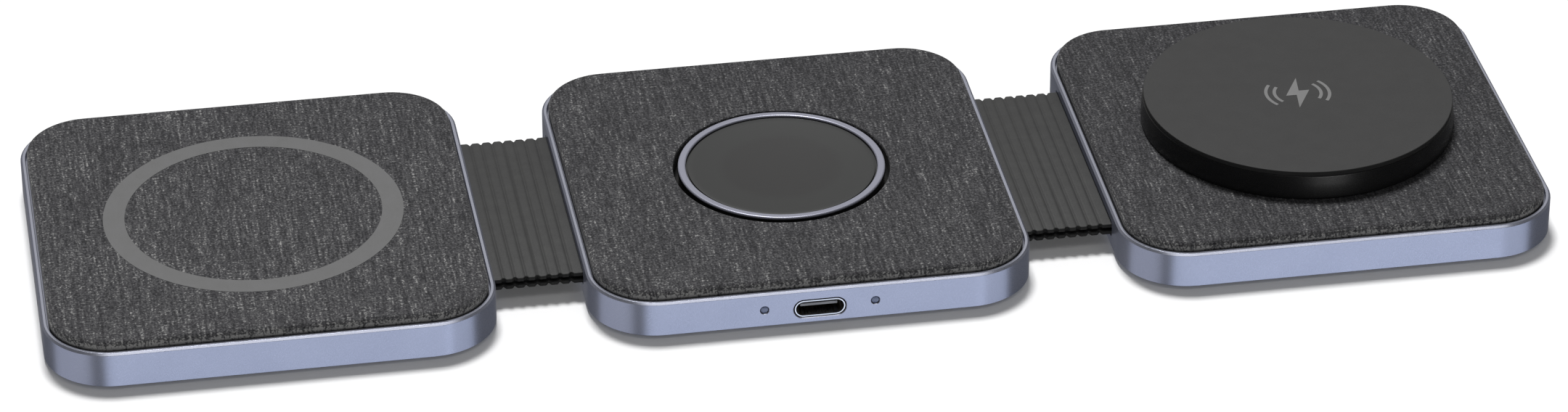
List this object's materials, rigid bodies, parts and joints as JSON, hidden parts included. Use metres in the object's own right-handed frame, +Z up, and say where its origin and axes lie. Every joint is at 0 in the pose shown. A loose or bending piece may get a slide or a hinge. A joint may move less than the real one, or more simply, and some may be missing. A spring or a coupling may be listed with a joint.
{
  "type": "folding wireless charging pad",
  "caption": "Three square fabric-topped charging pads in slim metal frames, joined by two ribbed elastomer bands that fold; watch stage in the middle, raised magnetic puck on the right.",
  "frame": {"origin": "centre of the middle pad at the level of its feet, on the table", "axes": "+X along the row of pads towards the puck, +Z up, charging port facing -Y"},
  "size_m": [0.2656, 0.079, 0.0145],
  "materials": {
    "anodised_aluminium": "bead-blasted, lavender-blue anodised",
    "heather_fabric": "heathered dark grey woven fabric",
    "silicone_print": "satin grey silicone ring",
    "band_elastomer": "matt dark grey ribbed elastomer",
    "base_plastic": "fine-textured dark grey moulding",
    "foot_rubber": "matt black silicone",
    "carrier_plastic": "plain moulded carrier",
    "black_plastic": "polished black",
    "soft_touch_cap": "soft-touch dark grey",
    "printed_mark": "grey pad-printed ink",
    "dish_plastic": "satin dark grey",
    "bezel_metal": "satin machined, tinted anodised",
    "port_steel": "drawn stainless steel",
    "tongue_plastic": "black insulator",
    "light_guide": "smoked light guide",
    "screw_steel": "zinc-plated",
    "clamp_steel": "pressed steel strip",
    "copper_winding": "enamelled copper litz",
    "ferrite": "sintered ferrite sheet",
    "magnet": "nickel-plated neodymium",
    "circuit_board": "solder-masked board",
    "shield_can": "tinned shield can"
  },
  "bodies": {
    "middle_pad": {"middle_frame": "anodised_aluminium", "middle_base": "base_plastic", "middle_feet": "foot_rubber", "middle_screws": "screw_steel", "middle_top_plate": "carrier_plastic", "middle_fabric": "heather_fabric", "watch_housing": "black_plastic", "watch_bezel": "bezel_metal", "watch_dish": "dish_plastic", "watch_coil": "copper_winding", "watch_ferrite": "ferrite", "watch_magnet": "magnet", "main_board": "circuit_board", "board_shields": "shield_can", "port_shell": "port_steel", "port_tongue": "tongue_plastic", "light_pipes": "light_guide", "left_band_inner_tab": "band_elastomer", "left_band_inner_clamp": "clamp_steel", "right_band_inner_tab": "band_elastomer", "right_band_inner_clamp": "clamp_steel"},
    "left_pad": {"left_frame": "anodised_aluminium", "left_base": "base_plastic", "left_feet": "foot_rubber", "left_screws": "screw_steel", "left_top_plate": "carrier_plastic", "left_fabric": "heather_fabric", "left_ring": "silicone_print", "left_coil": "copper_winding", "left_ferrite": "ferrite", "left_magnets": "magnet", "left_board": "circuit_board", "left_band_outer_tab": "band_elastomer", "left_band_outer_clamp": "clamp_steel"},
    "right_pad": {"right_frame": "anodised_aluminium", "right_base": "base_plastic", "right_feet": "foot_rubber", "right_screws": "screw_steel", "right_top_plate": "carrier_plastic", "right_fabric": "heather_fabric", "right_board": "circuit_board", "puck_shell": "black_plastic", "puck_cap": "soft_touch_cap", "puck_icon": "printed_mark", "puck_coil": "copper_winding", "puck_ferrite": "ferrite", "puck_magnets": "magnet", "right_band_outer_tab": "band_elastomer", "right_band_outer_clamp": "clamp_steel"},
    "left_band": {"left_band_link": "band_elastomer"},
    "right_band": {"right_band_link": "band_elastomer"}
  },
  "joints": [
    {"name": "left_band_fold", "type": "hinge", "parent": "middle_pad", "child": "left_band", "pos_m": [-0.0416, 0, 0.00407], "axis": [0, 1, 0], "range_deg": [-45.01, 90.01]},
    {"name": "left_pad_fold", "type": "hinge", "parent": "left_band", "child": "left_pad", "pos_m": [-0.0522, 0, 0.00407], "axis": [0, 1, 0], "range_deg": [-45, 90]},
    {"name": "right_band_fold", "type": "hinge", "parent": "middle_pad", "child": "right_band", "pos_m": [0.0416, 0, 0.00407], "axis": [0, -1, 0], "range_deg": [-90.01, 45.01]},
    {"name": "right_pad_fold", "type": "hinge", "parent": "right_band", "child": "right_pad", "pos_m": [0.0522, 0, 0.00407], "axis": [0, -1, 0], "range_deg": [-90, 45]}
  ],
  "couplings": [
    {"joint": "left_band_fold", "follows": "left_pad_fold", "ratio": 1},
    {"joint": "right_band_fold", "follows": "right_pad_fold", "ratio": 1}
  ]
}
